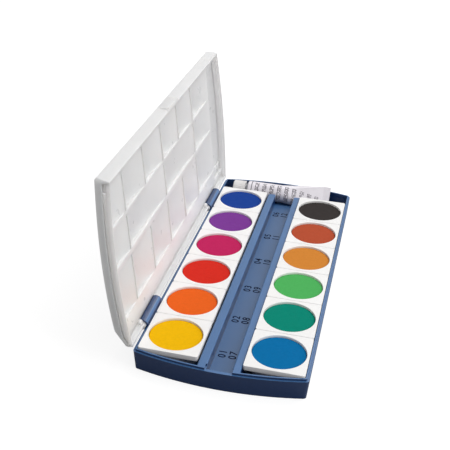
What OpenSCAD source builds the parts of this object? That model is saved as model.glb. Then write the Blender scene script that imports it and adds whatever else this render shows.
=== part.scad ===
// Gouache paint set box: a flat tray with twelve lift-out pans of pressed paint,
// a brush channel between the two rows, a tube of white at the far end,
// and a hinged lid whose inner side is a mixing palette.
// X runs across the box, with the hinge at -X. Y runs along it, with the tube at +Y.
// The origin is the middle of the tray's underside.

/* [Pans] */
// Number of pans in each row
pan_rows = 6; // [4:1:8]
// Width of a pan across the box
pan_w = 33.1; // [32.4:0.1:36]
// Length of a pan along the box
pan_l = 34.5; // [32.6:0.1:38]
// Height of a pan from its foot to its top
pan_h = 12.9; // [11.5:0.1:15]
// Height of a pan's square skirt
pan_skirt_h = 2.8; // [2:0.1:4]
// Thickness of a pan's walls
pan_wall = 0.8; // [0.6:0.1:1]
// Radius of a pan's upright corners
pan_corner_r = 1.2; // [0.6:0.1:2]
// Gap between neighbouring pans
pan_gap = 0.3; // [0.2:0.05:1]
// Diameter of a paint tablet
tablet_d = 29.8; // [24:0.1:30]
// Thickness of a paint tablet
tablet_h = 8; // [5:0.1:8.6]
// Depth of a fresh tablet's face below the pan's top
tablet_drop = 1; // [0.5:0.1:2]

/* [Tray] */
// Thickness of the tray's floor
floor_t = 1.6; // [1.2:0.1:2.4]
// Height of the upstand above the floor's underside
rim_z = 13.5; // [12:0.1:15.5]
// Height of the upstand above the ledge that the lid rests on
upstand_h = 1.2; // [0.8:0.1:1.6]
// Width of the ledge round the upstand
ledge_w = 1.1; // [0.9:0.1:1.6]
// Thickness of the upstand
upstand_t = 0.9; // [0.7:0.1:1.5]
// How far the middle of each end bulges beyond the corners
end_bulge = 6; // [3:0.5:10]
// Radius of the upright corners
corner_r = 2; // [1:0.1:4]
// Inward lean of the ends from the ledge to the underside
end_draft = 1.8; // [0.4:0.1:2.2]
// Inward lean of the sides from the ledge to the underside
side_draft = 0.7; // [0.2:0.1:1]
// Gap between the pans and the side walls
side_gap = 0.3; // [0.2:0.05:1]

/* [Brush channel] */
// Width of the channel
channel_w = 13.9; // [10:0.1:20]
// Height of the channel's floor above the underside
channel_z = 5.5; // [4:0.1:8]
// Width of the rail on the hinge side
rail_w_left = 5.1; // [4:0.1:8]
// Width of the rail on the opening side
rail_w_right = 4.3; // [4:0.1:8]
// Finger gap beside the pans on the hinge side
finger_gap = 1; // [0.3:0.1:2]
// Wall thickness of the hollow mouldings
mould_t = 1.2; // [0.9:0.1:1.4]

/* [Tube of white] */
// Diameter of the tube
tube_d = 13; // [10:0.1:13.6]
// Length of the tube's sleeve with its crimp
sleeve_l = 60.8; // [50:0.1:66]
// Width of the folded crimp along the tube
crimp_l = 5; // [3:0.1:7]
// Thickness of the folded crimp
crimp_t = 1.1; // [0.8:0.1:1.5]
// Tilt of the crimp's flat away from level
crimp_tilt = 40; // [20:1:44]
// Diameter of the cap
cap_d = 12; // [9:0.1:12.6]
// Length of the cap
cap_l = 9; // [7:0.1:11]
// Gap between the cap and the shoulder
cap_gap = 0.6; // [0.4:0.1:1.2]
// Distance of the tube's middle from the box's middle, towards the hinge
tube_shift = 2.75; // [0:0.25:4]

/* [Lid] */
// Opening angle of the lid in the stored pose, from closed
open_angle = 96.7; // [0:0.1:178]
// Thickness of the closed lid above the ledge
lid_t = 7.8; // [7.4:0.1:10]
// Height of the palette's skirt below the lid's back shell
skirt_h = 4.2; // [3.9:0.1:4.6]
// Thickness of the lid's outer skin
lid_skin = 1; // [0.8:0.1:1.2]
// Width of the slope along the hinge side of the back
slope_w = 11; // [9:0.1:12]
// How far the back's free edge overhangs the rim
edge_slope = 1.9; // [0.5:0.1:3]
// Length of the thumb tab
tab_l = 19.5; // [10:0.5:40]
// Width of the rounding at the far end of the back
far_round_w = 9; // [5:0.5:12]
// Height of the rounding at the far end of the back
far_round_h = 5; // [2:0.5:6]

/* [Palette] */
// Depth of the palette's ridges below the lid's rim
ridge_t = 3; // [2.8:0.1:3.2]
// Depth of the mixing wells below the lid's rim
well_t = 5.4; // [4.5:0.1:5.6]
// Depth of the strip over the tube below the lid's rim
strip_t = 5.6; // [5.2:0.1:5.6]
// Spacing of the steps between the wells
well_pitch = 34.1; // [30:0.1:38]
// Distance of the first step from the case's near corner
first_step = 23.1; // [15:0.1:30]
// Width of the ridges between the rows of wells
ridge_w = 2.2; // [1.5:0.1:4]
// Flat margin between the hinge edge and the wells
hinge_margin = 15.5; // [14.5:0.1:24]
// Margin between the wells and the free edge
free_margin = 4.5; // [4:0.1:8]

/* [Hinge] */
// Radius of the moulded hinge pins
pin_r = 2; // [1.6:0.05:2.1]
// Running clearance round a pin
pin_gap = 0.08; // [0.05:0.01:0.1]
// Thickness of a hinge hook
hook_t = 1.1; // [0.8:0.05:1.2]
// Length of a hinge hook
hook_l = 26.5; // [15:0.5:40]
// Distance between the middles of the two hooks
hook_span = 150.5; // [100:0.5:170]
// Shift of the hooks towards the near end
hook_shift = 2.25; // [0:0.25:5]
// Thickness of the lid's wall at the hinge
hinge_wall = 1.1; // [0.9:0.05:1.2]

/* [Hidden] */
$fn = 64;
eps = 0.01;
over = 1;
slit = 0.2;

// Across the box: side wall, pans, finger gap, rails and channel
wall = ledge_w + upstand_t;
inner_w = 2 * (pan_w + side_gap) + finger_gap + rail_w_left + channel_w + rail_w_right + side_gap;
case_w = inner_w + 2 * wall;
inner_x = inner_w / 2;
left_pan_x = -inner_x + side_gap + pan_w / 2;
right_pan_x = inner_x - side_gap - pan_w / 2;
rail_x0 = left_pan_x + pan_w / 2 + finger_gap;
channel_x0 = rail_x0 + rail_w_left;
channel_x1 = channel_x0 + channel_w;
rail_x1 = channel_x1 + rail_w_right;

// Along the box: the end arcs, the rows of pans and the tube's bay
end_r = (pow(case_w / 2, 2) + pow(end_bulge, 2)) / (2 * end_bulge);
pan_pitch = pan_l + pan_gap;
pan_clear = 0.25;
pan_inset = end_r - wall - pan_clear - pan_corner_r;
corner_run = sqrt(pow(pan_inset, 2) - pow(inner_x - side_gap - pan_corner_r, 2)) + pan_corner_r;
near_gap = sqrt(pow(end_r, 2) - pow(case_w / 2, 2)) - corner_run;
bay_l = tube_d + 3.5;
case_l = near_gap + pan_rows * pan_pitch - pan_gap + bay_l;
arc_y = end_r - case_l / 2 - end_bulge;
first_pan_y = -case_l / 2 + near_gap + pan_l / 2;
bay_y = case_l / 2 - bay_l + slit;

// Heights
ledge_z = rim_z - upstand_h;
pan_z1 = floor_t + pan_h;
tablet_z1 = pan_z1 - tablet_drop;
tablet_z0 = tablet_z1 - tablet_h;
bay_z = 3.2;
web_y = [-case_l / 2 - end_bulge + wall + end_draft - mould_t, -case_l / 4, 0, case_l / 4, bay_y];

// The lid, drawn closed and then turned about the hinge
hinge_x = -case_w / 2 - pin_r + 0.5;
hinge_z = ledge_z + 1.7;
lid_z0 = ledge_z + 0.15;
lid_z1 = lid_z0 + lid_t;
skirt_z = lid_z0 + skirt_h;
lid_x0 = hinge_x + 0.5;
lid_x1 = case_w / 2 + 0.1;
back_x1 = lid_x1 + edge_slope;
hook_r = pin_r + pin_gap + hook_t;
window_r = hook_r + 0.32;
knuckle_l = 1.8;
hook_ys = [-hook_shift - hook_span / 2, -hook_shift + hook_span / 2];

// The tube's axis lies in its bay
tube_r = tube_d / 2;
crimp_w = PI * tube_r;
crimp_rise = crimp_w / 2 * sin(crimp_tilt) + crimp_t / 2 * cos(crimp_tilt);
tube_z = bay_z + 0.3 + max(tube_r, crimp_rise);
tube_y = case_l / 2 - bay_l / 2 + 1.05;
shoulder_l = 1.9;
nozzle_r = 2.6;
nozzle_l = cap_l - 2.4;
sleeve_x0 = -tube_shift + (cap_l + cap_gap + shoulder_l - sleeve_l) / 2 - 0.65;
sleeve_x1 = sleeve_x0 + sleeve_l;

function pan_x(k) = k <= pan_rows ? left_pan_x : right_pan_x;
function pan_y(k) = first_pan_y + ((k - 1) % pan_rows) * pan_pitch;

// One quarter of the case's outline, from the middle of an end to the side
function quarter(side, end, r) =
    let (hw = case_w / 2 - side, big = end_r - end,
         fx = hw - r, fy = sqrt(pow(big - r, 2) - fx * fx),
         a = atan2(fx, fy), n = 10, m = 5)
    concat(
        [for (i = [0 : n]) [big * sin(a * i / n), big * cos(a * i / n) - arc_y]],
        [for (i = [1 : m]) let (b = a + (90 - a) * i / m) [fx + r * sin(b), fy + r * cos(b) - arc_y]]
    );

// The case's outline, set in from the sides and from the ends
module outline(side = 0, end = 0, r = corner_r) {
    q = quarter(side, end, r);
    n = len(q);
    polygon(concat(
        q,
        [for (i = [n - 1 : -1 : 0]) [q[i].x, -q[i].y]],
        [for (i = [1 : n - 1]) [-q[i].x, -q[i].y]],
        [for (i = [n - 1 : -1 : 1]) [-q[i].x, q[i].y]]
    ));
}

// The outline raised from z0 to z1
module prism(z0, z1, side = 0, end = 0, r = corner_r) {
    translate([0, 0, z0]) linear_extrude(z1 - z0) outline(side, end, r);
}

// A drafted body between two outlines, each given as [z, side, end]
module draft(low, high, r = corner_r) {
    hull() {
        prism(low[0], low[0] + eps, low[1], low[2], r);
        prism(high[0] - eps, high[0], high[1], high[2], r);
    }
}

// A box between two corners
module block(a, b) {
    translate(a) cube(b - a);
}

// A section in X and Z, drawn out along Y
module along_y(y0, y1) {
    translate([0, y1, 0]) rotate([90, 0, 0]) linear_extrude(y1 - y0) children();
}

module rounded_square(w, l, r) {
    polygon([
        for (c = [[1, 1, 0], [-1, 1, 90], [-1, -1, 180], [1, -1, 270]])
            for (i = [0 : 4])
                [c[0] * (w / 2 - r) + r * cos(c[2] + i * 22.5), c[1] * (l / 2 - r) + r * sin(c[2] + i * 22.5)]
    ]);
}

// Turns the closed lid about its hinge into the stored pose
module opened() {
    translate([hinge_x, 0, hinge_z]) rotate([0, -open_angle, 0]) translate([-hinge_x, 0, -hinge_z]) children();
}

// A hook that wraps over a hinge pin, from the ledge round to the outer side
module hook(y) {
    translate([hinge_x, y + hook_l / 2, hinge_z]) rotate([90, 0, 0]) difference() {
        cylinder(h = hook_l, r = hook_r);
        translate([0, 0, -over]) cylinder(h = hook_l + 2 * over, r = pin_r + pin_gap);
        translate([0, 0, -over]) linear_extrude(hook_l + 2 * over)
            polygon([[0, 0], for (a = [205 : 19 : 300]) 2 * hook_r * [cos(a), sin(a)]]);
    }
}

// The top side of the channel and its rails, as a section
module channel_section() {
    polygon([
        [rail_x0, floor_t - eps], [rail_x0, rim_z - 0.6], [rail_x0 + 0.6, rim_z],
        [channel_x0 - 0.4, rim_z], [channel_x0, rim_z - 0.4], [channel_x0, channel_z],
        [channel_x1, channel_z], [channel_x1, rim_z - 0.4], [channel_x1 + 0.4, rim_z],
        [rail_x1 - 0.4, rim_z], [rail_x1, rim_z - 0.4], [rail_x1, floor_t - eps]
    ]);
}

// The hollow under the channel and its rails, open below
module channel_core() {
    polygon([
        [rail_x0 + mould_t, -over], [rail_x0 + mould_t, rim_z - mould_t],
        [channel_x0 - mould_t, rim_z - mould_t], [channel_x0 - mould_t, channel_z - mould_t],
        [channel_x1 + mould_t, channel_z - mould_t], [channel_x1 + mould_t, rim_z - mould_t],
        [rail_x1 - mould_t, rim_z - mould_t], [rail_x1 - mould_t, -over]
    ]);
}

module base() {
    color("#1f3f6e") difference() {
        union() {
            difference() {
                union() {
                    draft([0, side_draft, end_draft], [ledge_z, 0, 0]);
                    prism(ledge_z - over, rim_z, ledge_w, ledge_w, corner_r - ledge_w + 0.3);
                }
                draft([floor_t, wall, wall + end_draft * 0.7], [rim_z - pan_skirt_h - 0.4, wall, wall], 0.8);
                prism(rim_z - pan_skirt_h - 0.4 - eps, rim_z + over, wall, wall, 0.8);
            }
            // Brush channel between its rails
            intersection() {
                along_y(-case_l, bay_y) channel_section();
                draft([0, wall / 2, wall / 2 + end_draft], [rim_z, wall / 2, wall / 2]);
            }
            // Raised floor of the tube's bay
            intersection() {
                block([-case_w, bay_y, floor_t - eps], [case_w, case_l, bay_z]);
                draft([0, wall / 2, wall / 2 + end_draft], [rim_z, wall / 2, wall / 2]);
            }
            // Locating ribs between the pans on the hinge side
            for (i = [1.5 : pan_rows - 2.5])
                block([-inner_x - upstand_t / 2, first_pan_y + i * pan_pitch - 0.35, floor_t - eps],
                      [-inner_x + side_gap + 0.3, first_pan_y + i * pan_pitch + 0.35, rim_z + 0.6]);
            for (y = hook_ys) hook(y);
        }
        // Hollows of the moulding, open below, with cross webs under the channel
        for (i = [0 : len(web_y) - 2]) along_y(web_y[i] + mould_t, web_y[i + 1] - mould_t) channel_core();
        intersection() {
            block([-case_w, bay_y + mould_t, -over], [case_w, case_l, bay_z - mould_t]);
            prism(-2 * over, ledge_z, wall + side_draft + 0.6, wall + end_draft + 0.6, 1);
        }
        // The upstand stops where the channel meets the near end
        block([channel_x0 - 0.7, -case_l, ledge_z], [channel_x1 + 0.3, -case_l / 2 - end_bulge + 2 * wall + 1, rim_z + over]);
    }
}

// The lid's profile across the box: chamfered over the hinge, sloped at the free edge
module lid_section(grow = 0) {
    polygon([
        [lid_x0, lid_z0 + grow], [lid_x0 - 0.3, lid_z0 + 2.2], [lid_x0 + 0.1, skirt_z - 0.9],
        [lid_x0 + 0.9, skirt_z - 0.3], [lid_x0 + 1.8, skirt_z],
        [lid_x0 + slope_w, lid_z1 - 0.15], [lid_x0 + slope_w + 1.5, lid_z1],
        [back_x1 - 0.8, lid_z1], [back_x1, lid_z1 - 0.8], [lid_x1, lid_z0 + grow]
    ]);
}

// The hollow inside the lid's back and walls, as a section
module lid_hollow() {
    wall_x = lid_x0 + hinge_wall;
    polygon([
        [wall_x, lid_z0 - over], [wall_x, skirt_z - 1.1],
        [lid_x0 + 2.6, skirt_z - lid_skin - 0.1], [lid_x0 + slope_w + 0.6, lid_z1 - 0.15 - lid_skin],
        [lid_x0 + slope_w + 1.8, lid_z1 - lid_skin],
        [lid_x1 - 1.3, lid_z1 - lid_skin], [lid_x1 - 1, lid_z0 + 1.6], [lid_x1 - 1, lid_z0 - over]
    ]);
}

// The far end of the back, rounded over the end's arc
module far_round() {
    translate([0, -arc_y, 0]) rotate_extrude($fn = 256) polygon([
        [0, lid_z0 - over], [end_r + over, lid_z0 - over], [end_r + over, lid_z0],
        [end_r, lid_z0 + eps],
        for (i = [0 : 6])
            [end_r - far_round_w * (1 - cos(i * 15)), lid_z1 - far_round_h * (1 - sin(i * 15))],
        [0, lid_z1]
    ]);
}

// Clears the hinge hooks at every angle of the lid
module hook_windows() {
    for (y = hook_ys)
        translate([hinge_x, y + hook_l / 2 + 0.3, hinge_z]) rotate([90, 0, 0])
            cylinder(h = hook_l + 0.6, r = window_r);
}

module lid_cover() {
    color("#f3f2f0") opened() union() {
        difference() {
            union() {
                intersection() {
                    along_y(-case_l, case_l) lid_section();
                    prism(lid_z0, lid_z1, -edge_slope - 0.1, 0);
                    far_round();
                }
                // Thumb tab: full width down to the rim
                block([lid_x1 - 0.9, -tab_l / 2, lid_z0], [back_x1 - 0.1, tab_l / 2, lid_z1 - 0.8]);
            }
            // Room for the palette, which closes the ends below the back shell
            intersection() {
                along_y(-case_l, case_l) lid_hollow();
                prism(lid_z0 - over, lid_z1, -2, 1.3, 1);
            }
            intersection() {
                along_y(-case_l, case_l) lid_hollow();
                block([-case_w, -case_l, lid_z0 - 2 * over], [case_w, case_l, skirt_z]);
            }
            hook_windows();
        }
        // Hinge pins, held at both ends of each window
        for (y = hook_ys)
            translate([hinge_x, y + hook_l / 2 + knuckle_l, hinge_z]) rotate([90, 0, 0])
                cylinder(h = hook_l + 2 * knuckle_l, r = pin_r);
    }
}

// A mixing well between two steps: deep behind the first and rising to the next
module well(x0, x1, y0, y1) {
    intersection() {
        translate([x1, 0, 0]) rotate([90, 0, -90]) linear_extrude(x1 - x0) polygon([
            [-y0, lid_z0 - over], [-y0, lid_z0 + ridge_t], [-y0 - 0.3, lid_z0 + well_t - 0.3],
            for (i = [0 : 6]) let (u = i / 6)
                [-y0 - 0.6 - u * (y1 - y0 - 0.6), lid_z0 + ridge_t + (well_t - ridge_t) * cos(90 * u)],
            [-y1, lid_z0 - over]
        ]);
        translate([(x0 + x1) / 2, (y0 + y1) / 2, lid_z0 - 2 * over])
            linear_extrude(lid_t) rounded_square(x1 - x0, y1 - y0, 2);
    }
}

// The palette's upper face against the lid's back
module palette_section() {
    polygon([
        [lid_x0 + hinge_wall + 0.1, lid_z0 + 1], [lid_x0 + hinge_wall + 0.1, skirt_z - 1.2],
        [lid_x0 + 2.6, skirt_z - lid_skin - 0.2], [lid_x0 + slope_w + 0.6, lid_z1 - 0.25 - lid_skin],
        [lid_x0 + slope_w + 1.8, lid_z1 - lid_skin],
        [lid_x1 - 1.4, lid_z1 - lid_skin], [lid_x1 - 1.1, lid_z0 + 1]
    ]);
}

module palette() {
    // The rows share the width between the hinge-side margin and the free edge
    well_x0 = lid_x0 + hinge_margin;
    well_x1 = lid_x1 - free_margin;
    shared = well_x1 - well_x0 - 2 * ridge_w - 1;
    row_1 = shared * 285 / 711;
    row_2 = shared * 203 / 711;
    row_x = [well_x0, well_x0 + row_1, well_x0 + row_1 + ridge_w + 1,
             well_x0 + row_1 + ridge_w + 1 + row_2, well_x0 + row_1 + 2 * ridge_w + 1 + row_2, well_x1];
    step0 = -case_l / 2 + first_step;
    near_y = -case_l / 2 - 1;
    strip_y = bay_y - 5.5;
    inner_end = wall - 0.05;
    far_y = case_l / 2 + end_bulge - inner_end;
    color("#efeeec") opened() difference() {
        union() {
            intersection() {
                along_y(-case_l, case_l) palette_section();
                union() {
                    prism(lid_z0 + ridge_t, lid_z1 - lid_skin, -2, 1.35, 1);
                    // End skirts: a wall with a bead that reaches over the tray's ledge
                    difference() {
                        union() {
                            prism(lid_z0, lid_z0 + 4, -2, 1.35, 1);
                            prism(lid_z0, lid_z0 + 2.3, -2, 0.25, 1);
                        }
                        block([-case_w, -case_l / 2 + 4, lid_z0 - over], [case_w, case_l / 2 - 4, lid_z0 + 9]);
                        prism(lid_z0 - over, lid_z0 + 1.4, -4, 0.9, 1);
                        prism(lid_z0, lid_z0 + 9, -4, inner_end, 1);
                    }
                }
            }
            for (s = [-1, 1]) intersection() {
                block([lid_x0 + hinge_wall + 0.1, -case_l, lid_z0], [lid_x1 - 1.1, case_l, lid_z0 + 1.5]);
                difference() {
                    prism(lid_z0, lid_z0 + 1.5, -2, 0.25, 1);
                    prism(lid_z0 - over, lid_z0 + 4, -4, 0.9, 1);
                }
                block([-case_w, s > 0 ? case_l / 2 - 4 : -case_l, lid_z0], [case_w, s > 0 ? case_l : 4 - case_l / 2, lid_z0 + 9]);
            }
            // Catch bumps near the free edge
            for (y = [-78.2, 60.5])
                translate([lid_x1 - free_margin + 2, y, lid_z0 + ridge_t - 0.5]) cylinder(h = 0.7, r = 1.1);
        }
        // Three rows of wells
        for (i = [0 : 5]) {
            y0 = i == 0 ? near_y : step0 + (i - 1) * well_pitch;
            y1 = i == 5 ? strip_y - 0.1 : step0 + i * well_pitch;
            well(row_x[0], row_x[1], y0 + 0.8, y1);
            well(row_x[4], row_x[5], y0 + 0.8, y1);
        }
        for (i = [0 : 3]) {
            y0 = i == 0 ? near_y : step0 + (2 * i - 2) * well_pitch;
            y1 = i == 3 ? strip_y - 0.1 : step0 + 2 * i * well_pitch;
            well(row_x[2], row_x[3], y0 + 0.8, y1);
        }
        // Strip that clears the tube when the lid is shut
        intersection() {
            union() {
                block([row_x[0] - 2.5, strip_y, lid_z0 - over], [row_x[5], far_y + 9, lid_z0 + strip_t]);
                block([lid_x0 + 7.5, strip_y, lid_z0 - over], [row_x[0], far_y + 9, lid_z0 + strip_t - 0.9]);
            }
            prism(lid_z0 - 2 * over, lid_z1, -2, inner_end, 1);
        }
        hook_windows();
    }
}

// A square-topped pan with a round cup on a foot ring
module pan(k) {
    cup_r = tablet_d / 2 + 0.2;
    color("#f4f3f1") translate([pan_x(k), pan_y(k), floor_t]) {
        difference() {
            union() {
                translate([0, 0, pan_h - pan_skirt_h]) linear_extrude(pan_skirt_h)
                    rounded_square(pan_w, pan_l, pan_corner_r);
                rotate_extrude($fn = 96) polygon([
                    [0, 0], [cup_r - 1, 0], [cup_r - 0.2, 0.8],
                    [cup_r + pan_wall, pan_h - pan_skirt_h + 0.5], [0, pan_h - pan_skirt_h + 0.5]
                ]);
            }
            // The skirt is hollow round the cup
            difference() {
                translate([0, 0, -over]) linear_extrude(pan_h + over - pan_wall)
                    rounded_square(pan_w - 2 * pan_wall, pan_l - 2 * pan_wall, pan_corner_r / 2);
                rotate_extrude($fn = 96) polygon([
                    [0, -2 * over], [cup_r - 1, -2 * over], [cup_r - 1, 0], [cup_r - 0.2, 0.8],
                    [cup_r + pan_wall, pan_h - pan_skirt_h + 0.5], [cup_r + pan_wall, pan_h + over], [0, pan_h + over]
                ]);
            }
            // The well for the tablet, and the recess inside the foot ring
            translate([0, 0, tablet_z0 - floor_t]) cylinder(h = pan_h, r = cup_r, $fn = 96);
            translate([0, 0, -over]) cylinder(h = tablet_z0 - floor_t - 1.2 + over, r = cup_r - 2.4, $fn = 96);
        }
    }
}

// A pressed tablet with a softened edge
module paint(k, tint) {
    r = tablet_d / 2;
    color(tint) translate([pan_x(k), pan_y(k), tablet_z0]) rotate_extrude($fn = 96) polygon([
        [0, 0], [r, 0], [r, tablet_h - 0.4], [r - 0.15, tablet_h - 0.12], [r - 0.5, tablet_h], [0, tablet_h]
    ]);
}

// Places a piece drawn along +Z onto the tube's axis, pointing to +X
module on_tube(x) {
    translate([x, tube_y, tube_z]) rotate([0, 90, 0]) children();
}

// The sleeve: round at the shoulder, flattened to a folded crimp
module tube_body() {
    color("#c9ccd0") union() {
        on_tube(sleeve_x0) cylinder(h = sleeve_l * 0.42, r = tube_r);
        hull() {
            on_tube(sleeve_x0 + sleeve_l * 0.42 - eps) cylinder(h = eps, r = tube_r, $fn = 40);
            translate([sleeve_x1 - crimp_l, tube_y, tube_z]) rotate([crimp_tilt, 0, 0])
                translate([-eps, -crimp_w / 2, -crimp_t / 2]) cube([eps, crimp_w, crimp_t]);
        }
        // The fold, one layer thicker than the flattened sleeve
        translate([sleeve_x1 - crimp_l, tube_y, tube_z]) rotate([crimp_tilt, 0, 0])
            translate([-eps, -crimp_w / 2, -crimp_t / 2]) cube([crimp_l + eps, crimp_w, crimp_t]);
    }
}

// The shoulder with its neck and nozzle, which the cap closes
module tube_shoulder() {
    neck_z = -shoulder_l - cap_gap;
    color("#b4b8be") on_tube(sleeve_x0) rotate_extrude() polygon([
        [0, neck_z - nozzle_l], [nozzle_r, neck_z - nozzle_l], [nozzle_r, neck_z],
        [nozzle_r + 0.5, neck_z], [nozzle_r + 0.7, -shoulder_l],
        [tube_r - 0.6, -0.5], [tube_r - 0.1, 0], [0, 0]
    ]);
}

// A screw cap with grip ribs round its side
module tube_cap() {
    ribs = 24;
    color("#f2f2f0") on_tube(sleeve_x0 - shoulder_l - cap_gap - cap_l) difference() {
        intersection() {
            rotate_extrude() polygon([
                [0, 0], [cap_d / 2 - 0.9, 0], [cap_d / 2 - 0.3, 0.5], [cap_d / 2, cap_l], [0, cap_l]
            ]);
            linear_extrude(cap_l) polygon([
                for (i = [0 : 4 * ribs - 1]) let (r = cap_d / 2 + (i % 4 < 2 ? over : -0.35), a = 90 * i / ribs)
                    [r * cos(a), r * sin(a)]
            ]);
        }
        translate([0, 0, cap_l - nozzle_l - 0.8]) cylinder(h = cap_l, r = nozzle_r + pin_gap);
    }
}

base();
lid_cover();
palette();
pan(1);  // pan_1
pan(2);  // pan_2
pan(3);  // pan_3
pan(4);  // pan_4
pan(5);  // pan_5
pan(6);  // pan_6
pan(7);  // pan_7
pan(8);  // pan_8
pan(9);  // pan_9
pan(10);  // pan_10
pan(11);  // pan_11
pan(12);  // pan_12
paint(1, "#eeb604");  // paint_1
paint(2, "#e5601e");  // paint_2
paint(3, "#cf2c1f");  // paint_3
paint(4, "#b7245a");  // paint_4
paint(5, "#723b8c");  // paint_5
paint(6, "#193d8c");  // paint_6
paint(7, "#016ca5");  // paint_7
paint(8, "#01836e");  // paint_8
paint(9, "#4cad5d");  // paint_9
paint(10, "#d28437");  // paint_10
paint(11, "#b04e33");  // paint_11
paint(12, "#35302f");  // paint_12
tube_body();
tube_shoulder();
tube_cap();
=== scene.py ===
"""Gouache paint set box: finishes, printed marks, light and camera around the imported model."""

import math

import bmesh
import bpy
from mathutils import Matrix, Vector


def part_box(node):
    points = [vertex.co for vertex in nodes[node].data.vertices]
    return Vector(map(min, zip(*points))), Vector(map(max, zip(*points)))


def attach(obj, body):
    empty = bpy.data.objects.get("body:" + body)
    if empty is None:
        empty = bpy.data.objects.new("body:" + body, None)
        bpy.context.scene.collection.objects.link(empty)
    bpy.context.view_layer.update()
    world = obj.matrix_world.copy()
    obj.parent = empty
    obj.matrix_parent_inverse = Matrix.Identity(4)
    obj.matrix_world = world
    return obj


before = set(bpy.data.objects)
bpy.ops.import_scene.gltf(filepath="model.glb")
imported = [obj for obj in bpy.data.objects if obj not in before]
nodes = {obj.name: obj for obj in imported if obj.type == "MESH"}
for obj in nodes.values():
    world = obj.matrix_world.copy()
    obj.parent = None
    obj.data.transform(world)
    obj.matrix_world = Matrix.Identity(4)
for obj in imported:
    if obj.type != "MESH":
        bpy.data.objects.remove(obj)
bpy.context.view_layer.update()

MM = 0.001

# Colours as they look, 0 to 255
NAVY = (58, 104, 156)
# Painted shade: this darker navy stands in for the shade on the tray's upright walls and the hooks' outer
# side
WALL_SHADE_NAVY = (12, 46, 92)
PRINT_BLUE = (10, 20, 44)
LID_WHITE = (243, 242, 241)
PALETTE_WHITE = (242, 241, 240)
PAN_WHITE = (245, 244, 243)
LABEL_WHITE = (232, 228, 234)
LABEL_GREY = (62, 56, 68)
CAP_WHITE = (232, 230, 229)
FOIL = (205, 207, 211)
PAINTS = {
    1: (240, 184, 4),
    2: (232, 98, 30),
    3: (212, 44, 32),
    4: (190, 36, 92),
    5: (122, 58, 146),
    6: (26, 64, 146),
    7: (4, 110, 168),
    8: (4, 134, 114),
    9: (80, 178, 94),
    10: (212, 134, 54),
    11: (182, 80, 52),
    12: (56, 51, 50),
}

# The photograph's camera: place in mm, turn about the vertical, tilt down and roll in degrees
CAMERA_AT = (69.46, -463.92, 288.37)
CAMERA_TURN = 11.35
CAMERA_TILT = 28.18
CAMERA_ROLL = 3.06
CAMERA_LENS = 67.73
SENSOR = 36.0

# Left of this, in mm, the tray is the outer side of its hinge hooks; that side gets painted shade, and
# the second value says how far it is darkened towards the wall shade colour
HOOK_SIDE_X = -47.75
HOOK_SHADE_AMOUNT = 0.85

# Light: the world's level and its colour, and the floor's glow towards the camera
WORLD_LEVEL = 0.58
WORLD_GREY = 0.8
FLOOR_GREY = 0.35
FLOOR_GLOW = 0.8


def linear(rgb):
    """A colour of 0 to 255 as linear RGBA."""
    out = []
    for c in rgb:
        c = c / 255
        out.append(c / 12.92 if c <= 0.04045 else ((c + 0.055) / 1.055) ** 2.4)
    return (*out, 1.0)


def shade(rgb, k):
    """A colour made lighter or darker by the factor k."""
    return tuple(min(255, max(0, c * k)) for c in rgb)


# Materials


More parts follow.
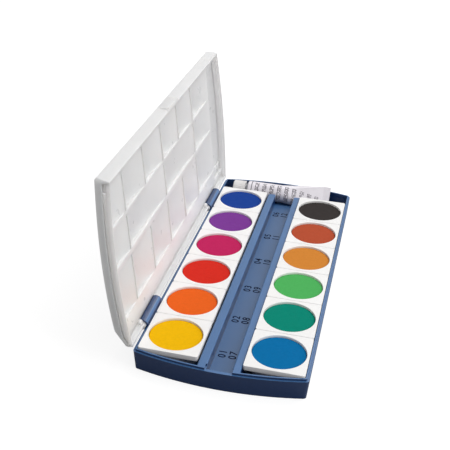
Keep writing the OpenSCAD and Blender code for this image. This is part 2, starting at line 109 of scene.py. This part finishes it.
class Mat:
    """A node material under construction, with short calls for the nodes it uses."""

    def __init__(self, name):
        self.mat = bpy.data.materials.new(name)
        self.mat.use_nodes = True
        self.tree = self.mat.node_tree
        self.tree.nodes.clear()
        self.out = self.tree.nodes.new("ShaderNodeOutputMaterial")
        self.bsdf = self.tree.nodes.new("ShaderNodeBsdfPrincipled")
        self.link(self.bsdf.outputs["BSDF"], self.out.inputs["Surface"])
        self.coord = self.tree.nodes.new("ShaderNodeTexCoord")

    def link(self, a, b):
        self.tree.links.new(a, b)

    def put(self, value, socket):
        """Sets a socket to a number or colour, or links it."""
        if isinstance(value, bpy.types.NodeSocket):
            self.link(value, socket)
        else:
            socket.default_value = value

    def math(self, op, a, b=0.0, c=None):
        n = self.tree.nodes.new("ShaderNodeMath")
        n.operation = op
        self.put(a, n.inputs[0])
        self.put(b, n.inputs[1])
        if c is not None:
            self.put(c, n.inputs[2])
        return n.outputs[0]

    def noise(self, scale, detail=3.0, rough=0.55, vector=None):
        n = self.tree.nodes.new("ShaderNodeTexNoise")
        n.inputs["Scale"].default_value = scale
        n.inputs["Detail"].default_value = detail
        n.inputs["Roughness"].default_value = rough
        self.link(vector or self.coord.outputs["Object"], n.inputs["Vector"])
        return n.outputs["Fac"]

    def ramp(self, fac, stops):
        """A colour ramp of (place, colour of 0 to 255) stops."""
        n = self.tree.nodes.new("ShaderNodeValToRGB")
        els = n.color_ramp.elements
        while len(els) > 1:
            els.remove(els[-1])
        els[0].position, els[0].color = stops[0][0], linear(stops[0][1])
        for place, rgb in stops[1:]:
            e = els.new(place)
            e.color = linear(rgb)
        self.link(fac, n.inputs["Fac"])
        return n.outputs["Color"]

    def span(self, fac, low, high):
        """Maps 0..1 noise onto low..high."""
        n = self.tree.nodes.new("ShaderNodeMapRange")
        n.inputs["From Min"].default_value = 0.25
        n.inputs["From Max"].default_value = 0.75
        n.inputs["To Min"].default_value = low
        n.inputs["To Max"].default_value = high
        self.link(fac, n.inputs["Value"])
        return n.outputs["Result"]

    def mix(self, fac, a, b):
        n = self.tree.nodes.new("ShaderNodeMix")
        n.data_type = "RGBA"
        self.put(fac, n.inputs["Factor"])
        self.put(a, n.inputs["A"])
        self.put(b, n.inputs["B"])
        return n.outputs["Result"]

    def axes(self, socket="Object"):
        n = self.tree.nodes.new("ShaderNodeSeparateXYZ")
        self.link(self.coord.outputs[socket], n.inputs[0])
        return n.outputs[0], n.outputs[1], n.outputs[2]

    def relief(self, height, depth, strength=1.0, edge=0.25 * MM):
        """Bump from a height of 0..1, over edges rounded by the shader."""
        bump = self.tree.nodes.new("ShaderNodeBump")
        bump.inputs["Strength"].default_value = strength
        bump.inputs["Distance"].default_value = depth
        self.link(height, bump.inputs["Height"])
        if edge:
            bevel = self.tree.nodes.new("ShaderNodeBevel")
            bevel.samples = 4
            bevel.inputs["Radius"].default_value = edge
            self.link(bevel.outputs["Normal"], bump.inputs["Normal"])
        self.link(bump.outputs["Normal"], self.bsdf.inputs["Normal"])

    def look(self, color, rough, **more):
        self.put(color, self.bsdf.inputs["Base Color"])
        self.put(rough, self.bsdf.inputs["Roughness"])
        for name, value in more.items():
            self.put(value, self.bsdf.inputs[name.replace("_", " ")])
        return self.mat


def moulded(
    name, rgb, rough, grain=900, depth=0.02 * MM, swing=0.03, edge=0.25 * MM, glow=0.0, painted_shade_colour=None, **more
):
    """Moulded plastic: a faint cloudiness, a fine spark-eroded grain, softened edges and, where a shade
    colour is given, painted shade on upright walls and the hooks' outer side.
    """
    m = Mat(name)
    cloud = m.noise(28, 4.0)
    color = m.ramp(cloud, [(0.3, shade(rgb, 1 - swing)), (0.7, shade(rgb, 1 + swing))])
    if painted_shade_colour:
        # Painted shade: upright walls, and in part the hooks' outer side, are coloured darker than the
        # faces in place of the shade they get
        painted_shade_mask = m.math("LESS_THAN", m.math("ABSOLUTE", m.axes("Normal")[2]), 0.5)
        hook_shade_mask = m.math("LESS_THAN", m.axes()[0], HOOK_SIDE_X * MM)
        painted_shade_mask = m.math("MAXIMUM", painted_shade_mask, m.math("MULTIPLY", hook_shade_mask, HOOK_SHADE_AMOUNT))
        color = m.mix(painted_shade_mask, color, linear(painted_shade_colour))
    m.relief(m.noise(grain, 2.0), depth, 0.35, edge)
    if glow:
        # Light spreads inside the white plastic
        m.bsdf.inputs["Subsurface Weight"].default_value = glow
        m.bsdf.inputs["Subsurface Radius"].default_value = (1.0, 0.95, 0.9)
        m.bsdf.inputs["Subsurface Scale"].default_value = 8 * MM
    return m.look(color, m.span(m.noise(120, 3.0), rough - 0.04, rough + 0.05), **more)


def pressed(name, rgb):
    """Pressed dry paint: matte, finely mottled, with painted shade in a darker ring along its edge, where
    the pan's wall rises above it.
    """
    m = Mat(name)
    x, y, z = m.axes("Generated")
    dx, dy = m.math("SUBTRACT", x, 0.5), m.math("SUBTRACT", y, 0.5)
    radius = m.math("SQRT", m.math("ADD", m.math("MULTIPLY", dx, dx), m.math("MULTIPLY", dy, dy)))
    face = m.ramp(
        m.noise(700, 6.0, 0.7),
        [(0.3, shade(rgb, 0.97)), (0.5, rgb), (0.72, shade(rgb, 1.02))],
    )
    # Painted shade: the tablet's colour darkens in a ring along its edge, where the pan's wall shades it
    edge = m.ramp(m.noise(1500, 2.0), [(0.3, shade(rgb, 0.78)), (0.7, shade(rgb, 0.88))])
    past_edge = m.math("MAXIMUM", m.math("SUBTRACT", radius, 0.482), 0.0)
    rim_shade = m.math("SMOOTH_MIN", m.math("MULTIPLY", past_edge, 60.0), 1.0, 0.1)
    m.relief(m.noise(1900, 5.0, 0.7), 0.03 * MM, 0.35, 0.3 * MM)
    return m.look(m.mix(rim_shade, face, edge), m.span(m.noise(300, 3.0), 0.62, 0.78), Specular_IOR_Level=0.04)


def printed_foil(name, x0, x1, centre):
    """The sleeve: foil under a pale coat, with a ring and rows of plain grey bars printed round it."""
    m = Mat(name)
    x, y, z = m.axes()
    # Distance along the tube and round it, in mm
    along = m.math("MULTIPLY", m.math("SUBTRACT", x, x0), 1000.0)
    angle = m.math("ARCTAN2", m.math("SUBTRACT", z, centre[1]), m.math("SUBTRACT", centre[0], y))
    round_it = m.math("MULTIPLY", angle, 6.5)
    rows = m.math("DIVIDE", m.math("SUBTRACT", along, 5.0), 5.6)
    in_row = m.math("FRACT", rows)
    row_no = m.math("FLOOR", rows)
    # Each row is a few lines of broken bars
    line = m.math("FRACT", m.math("MULTIPLY", in_row, 6.0))
    line_no = m.math("FLOOR", m.math("MULTIPLY", in_row, 6.0))
    on_line = m.math("MULTIPLY", m.math("GREATER_THAN", line, 0.3), m.math("LESS_THAN", in_row, 0.6))
    seed = m.math("ADD", m.math("MULTIPLY", row_no, 7.31), m.math("MULTIPLY", line_no, 3.77))
    vec = m.tree.nodes.new("ShaderNodeCombineXYZ")
    m.link(m.math("MULTIPLY", round_it, 0.9), vec.inputs[0])
    m.link(seed, vec.inputs[1])
    bars = m.math("GREATER_THAN", m.noise(1.0, 2.0, 0.5, vec.outputs[0]), 0.44)
    ends = m.math("LESS_THAN", m.math("ABSOLUTE", m.math("SUBTRACT", round_it, 3.4)), 6.2)
    printed = m.math("MULTIPLY", m.math("MULTIPLY", on_line, bars), ends)
    inside = m.math("MULTIPLY", m.math("GREATER_THAN", along, 5.0), m.math("LESS_THAN", along, 53.0))
    ring = m.math("LESS_THAN", m.math("ABSOLUTE", m.math("SUBTRACT", along, 2.6)), 0.28)
    ink = m.math("MAXIMUM", m.math("MULTIPLY", printed, inside), ring)
    coat = m.ramp(m.noise(60, 3.0), [(0.3, shade(LABEL_WHITE, 0.97)), (0.7, shade(LABEL_WHITE, 1.03))])
    color = m.mix(m.math("MULTIPLY", ink, 0.9), coat, linear(LABEL_GREY))
    m.relief(m.noise(160, 4.0, 0.6), 0.35 * MM, 0.35, 0.3 * MM)
    return m.look(color, m.span(m.noise(200, 3.0), 0.3, 0.42), Metallic=0.12)


def foil(name, rgb):
    """Bare soft aluminium with a fine grain."""
    m = Mat(name)
    m.relief(m.noise(900, 3.0), 0.02 * MM, 0.4)
    return m.look(m.ramp(m.noise(90, 3.0), [(0.3, shade(rgb, 0.94)), (0.7, rgb)]), 0.38, Metallic=1.0)


def ink(name, rgb):
    """Screen-printed ink, thin and matte, slightly uneven."""
    m = Mat(name)
    m.relief(m.noise(2500, 2.0), 0.01 * MM, 0.4, 0)
    color = m.ramp(m.noise(700, 4.0), [(0.3, rgb), (0.75, shade(rgb, 1.25))])
    return m.look(color, 0.7, Specular_IOR_Level=0.1)


def dress(node, mat):
    """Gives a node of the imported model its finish."""
    obj = nodes[node]
    obj.data.materials.clear()
    obj.data.materials.append(mat)
    for p in obj.data.polygons:
        p.material_index = 0


# The tray's upright walls and the hooks' outer side get painted shade in a darker navy
dress("base", moulded("tray plastic", NAVY, 0.32, painted_shade_colour=WALL_SHADE_NAVY, Specular_IOR_Level=0.7))
dress("lid_cover", moulded("lid plastic", LID_WHITE, 0.36, swing=0.01, glow=0.6))
palette_plastic = moulded("palette plastic", PALETTE_WHITE, 0.3, swing=0.01, edge=0.7 * MM, glow=0.6)
dress("palette", palette_plastic)
pan_plastic = moulded("pan plastic", PAN_WHITE, 0.34, swing=0.01)
for k, rgb in PAINTS.items():
    dress(f"pan_{k}", pan_plastic)
    dress(f"paint_{k}", pressed(f"paint {k}", rgb))
sleeve_low, sleeve_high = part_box("tube_body")
cap_low, cap_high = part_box("tube_cap")
tube_y = (cap_low[1] + cap_high[1]) / 2
tube_z = (cap_low[2] + cap_high[2]) / 2
dress("tube_body", printed_foil("printed sleeve", sleeve_low[0], sleeve_high[0], (tube_y, tube_z)))
dress("tube_shoulder", foil("shoulder metal", FOIL))
dress("tube_cap", moulded("cap plastic", CAP_WHITE, 0.4, swing=0.015, edge=0.12 * MM))


# The palette's drawn lips, and the pin ends beside the hinge hooks

# Sizes of the closed lid, in mm: the opening angle, the hinge's X and Z, and the ridges' height
OPEN = 96.7
HINGE = (-49.2, 14.0)
RIDGE_Z = 15.45
# Each row of wells from X to X, and whether a lip stands on each step or each second one
ROWS = ((-33.2, -4.7, 1), (-1.5, 18.8, 2), (21.0, 43.3, 1))
STEP_0, STEP_PITCH, STEPS = -89.75, 34.1, 5
# A lip's section, along the box and up from the ridges
LIP_SECTION = ((-0.5, 0.2), (-0.5, -0.6), (-0.36, -0.74), (-0.1, -0.76), (0.25, -0.55), (0.9, 0.2))
# Centre of the pin ends, their places along the box, and their radii towards the round end
PIN_X, PIN_Z = -47.15, 15.17
PIN_ENDS = (("pin_end_near", -90.9), ("pin_end_far", 59.6))
PIN_RINGS = ((0, 1.7), (-2.1, 1.7), (-2.45, 1.55), (-2.6, 1.25))
PIN_SIDES = 32


def opened(x, y, z):
    """A point of the closed lid, in mm, where it lies in the stored pose."""
    a = math.radians(OPEN)
    dx, dz = x - HINGE[0], z - HINGE[1]
    return (
        (HINGE[0] + dx * math.cos(a) - dz * math.sin(a)) * MM,
        y * MM,
        (HINGE[1] + dx * math.sin(a) + dz * math.cos(a)) * MM,
    )


def solid(name, rings, mat, body):
    """A closed body through rings of points, with round ends left flat."""
    n = len(rings[0])
    faces = [
        (r * n + i, r * n + (i + 1) % n, (r + 1) * n + (i + 1) % n, (r + 1) * n + i)
        for r in range(len(rings) - 1)
        for i in range(n)
    ]
    faces += [tuple(range(n))[::-1], tuple(range((len(rings) - 1) * n, len(rings) * n))]
    mesh = bpy.data.meshes.new(name)
    mesh.from_pydata([p for ring in rings for p in ring], [], faces)
    bm = bmesh.new()
    bm.from_mesh(mesh)
    bmesh.ops.recalc_face_normals(bm, faces=bm.faces)
    bm.to_mesh(mesh)
    bm.free()
    mesh.materials.append(mat)
    obj = bpy.data.objects.new(name, mesh)
    bpy.context.collection.objects.link(obj)
    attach(obj, body)
    return obj


def lip(name, x0, x1, y):
    """The raised lip along one step, low at both ends."""
    rings = []
    for x, k in ((x0, 0.1), (x0 + 1.4, 0.8), (x0 + 3, 1), (x1 - 3, 1), (x1 - 1.4, 0.8), (x1, 0.1)):
        rings.append([opened(x, y + v, RIDGE_Z + w * k) for v, w in LIP_SECTION])
    solid(name, rings, palette_plastic, "lid")


def pin_end(name, y):
    """The rounded end of a hinge pin, beside its hook."""
    rings = []
    for dy, r in PIN_RINGS:
        ring = []
        for i in range(PIN_SIDES):
            a = math.tau * i / PIN_SIDES
            ring.append(opened(PIN_X + r * math.cos(a), y + dy, PIN_Z + r * math.sin(a)))
        rings.append(ring)
    solid(name, rings, palette_plastic, "lid")


for r, (x0, x1, every) in enumerate(ROWS):
    for i in range(0, STEPS, every):
        lip(f"lip_{r}_{i}", x0, x1, STEP_0 + i * STEP_PITCH)
for name, y in PIN_ENDS:
    pin_end(name, y)


# Numbers printed on the channel's floor, one beside each pan

CHANNEL_Z = 5.5
PRINT_T = 0.04
DIGIT_H = 4.4
LEFT_X, RIGHT_X = -2.3, 3.6


def number(k, x, y):
    """A plain number lying on the channel's floor, read from the hinge side."""
    curve = bpy.data.curves.new(f"digits_{k}", "FONT")
    curve.body = f"{k:02d}"
    curve.size = DIGIT_H * MM * 1.42
    curve.space_character = 1.2
    curve.align_x, curve.align_y = "CENTER", "CENTER"
    curve.extrude = PRINT_T / 2 * MM
    curve.offset = 0.09 * MM
    curve.resolution_u = 4
    text = bpy.data.objects.new(f"digits_{k}", curve)
    bpy.context.collection.objects.link(text)
    bpy.context.view_layer.update()
    mesh = bpy.data.meshes.new_from_object(text.evaluated_get(bpy.context.evaluated_depsgraph_get()))
    bpy.data.objects.remove(text)
    mesh.transform(Matrix.Rotation(math.radians(90), 4, "Z"))
    mesh.transform(Matrix.Translation((x * MM, y * MM, (CHANNEL_Z + PRINT_T / 2) * MM)))
    bm = bmesh.new()
    bm.from_mesh(mesh)
    bmesh.ops.remove_doubles(bm, verts=bm.verts, dist=1e-6)
    bm.to_mesh(mesh)
    bm.free()
    mesh.materials.clear()
    mesh.materials.append(print_ink)
    obj = bpy.data.objects.new(f"number_{k}", mesh)
    bpy.context.collection.objects.link(obj)
    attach(obj, "tray")


print_ink = ink("channel print", PRINT_BLUE)
for k in PAINTS:
    low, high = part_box(f"pan_{k}")
    number(k, LEFT_X if k <= 6 else RIGHT_X, (low[1] + high[1]) / 2 / MM + 1.5)


# Floor, light and camera


def backdrop_floor():
    """A plain pale floor that shows white to the camera and keeps the object's shadow."""
    mesh = bpy.data.meshes.new("floor")
    s = 3.0
    mesh.from_pydata([(-s, -s, 0), (s, -s, 0), (s, s, 0), (-s, s, 0)], [], [(0, 1, 2, 3)])
    floor = bpy.data.objects.new("floor", mesh)
    bpy.context.collection.objects.link(floor)
    m = Mat("floor white")
    m.look((FLOOR_GREY, FLOOR_GREY, FLOOR_GREY, 1), 0.9, Specular_IOR_Level=0.0)
    path = m.tree.nodes.new("ShaderNodeLightPath")
    glow = m.tree.nodes.new("ShaderNodeEmission")
    glow.inputs["Color"].default_value = (1, 1, 1, 1)
    both = m.tree.nodes.new("ShaderNodeAddShader")
    m.link(m.math("MULTIPLY", path.outputs["Is Camera Ray"], FLOOR_GLOW), glow.inputs["Strength"])
    m.link(m.bsdf.outputs[0], both.inputs[0])
    m.link(glow.outputs[0], both.inputs[1])
    m.link(both.outputs[0], m.out.inputs["Surface"])
    mesh.materials.append(m.mat)


def world_light(level):
    """A soft grey as light, brighter in reflections, and white to the camera."""
    world = bpy.data.worlds.new("studio")
    bpy.context.scene.world = world
    world.use_nodes = True
    tree = world.node_tree
    tree.nodes.clear()
    out = tree.nodes.new("ShaderNodeOutputWorld")
    bg = tree.nodes.new("ShaderNodeBackground")
    path = tree.nodes.new("ShaderNodeLightPath")

    def by_ray(kind, otherwise, then):
        """One strength for rays of a kind, and another, or a socket, for the rest."""
        n = tree.nodes.new("ShaderNodeMapRange")
        if isinstance(otherwise, bpy.types.NodeSocket):
            tree.links.new(otherwise, n.inputs["To Min"])
        else:
            n.inputs["To Min"].default_value = otherwise
        n.inputs["To Max"].default_value = then
        tree.links.new(path.outputs[kind], n.inputs["Value"])
        return n.outputs["Result"]

    lit = by_ray("Is Glossy Ray", level, 1.0)
    bg.inputs["Color"].default_value = (WORLD_GREY, WORLD_GREY, WORLD_GREY, 1)
    tree.links.new(by_ray("Is Camera Ray", lit, 1 / WORLD_GREY), bg.inputs["Strength"])
    tree.links.new(bg.outputs[0], out.inputs["Surface"])


def soft_box(name, at, towards, size, watts):
    """A square area light, aimed at a point."""
    light = bpy.data.lights.new(name, "AREA")
    light.size = size
    light.energy = watts
    obj = bpy.data.objects.new(name, light)
    bpy.context.collection.objects.link(obj)
    obj.location = at
    obj.rotation_euler = (Vector(towards) - Vector(at)).to_track_quat("-Z", "Y").to_euler()


def photo_camera():
    turn, tilt, roll = (math.radians(a) for a in (CAMERA_TURN, CAMERA_TILT, CAMERA_ROLL))
    back = Vector((math.sin(turn) * math.cos(tilt), -math.cos(turn) * math.cos(tilt), math.sin(tilt)))
    right = Vector((math.cos(turn), math.sin(turn), 0))
    up = back.cross(right)
    across = right * math.cos(roll) + up * math.sin(roll)
    upward = up * math.cos(roll) - right * math.sin(roll)
    data = bpy.data.cameras.new("camera")
    data.sensor_width = SENSOR
    data.lens = CAMERA_LENS
    data.clip_start, data.clip_end = 0.01, 20
    cam = bpy.data.objects.new("camera", data)
    bpy.context.collection.objects.link(cam)
    pose = Matrix((across, upward, back)).transposed().to_4x4()
    pose.translation = Vector(CAMERA_AT) * MM
    cam.matrix_world = pose
    bpy.context.scene.camera = cam


backdrop_floor()
world_light(WORLD_LEVEL)
soft_box("key", (0.45, 0.85, 1.15), (0, 0, 0.03), 1.1, 10.0)
soft_box("side", (1.25, -0.4, 0.75), (0, 0, 0.03), 0.9, 9.5)
photo_camera()
bpy.context.scene.view_settings.view_transform = "Standard"
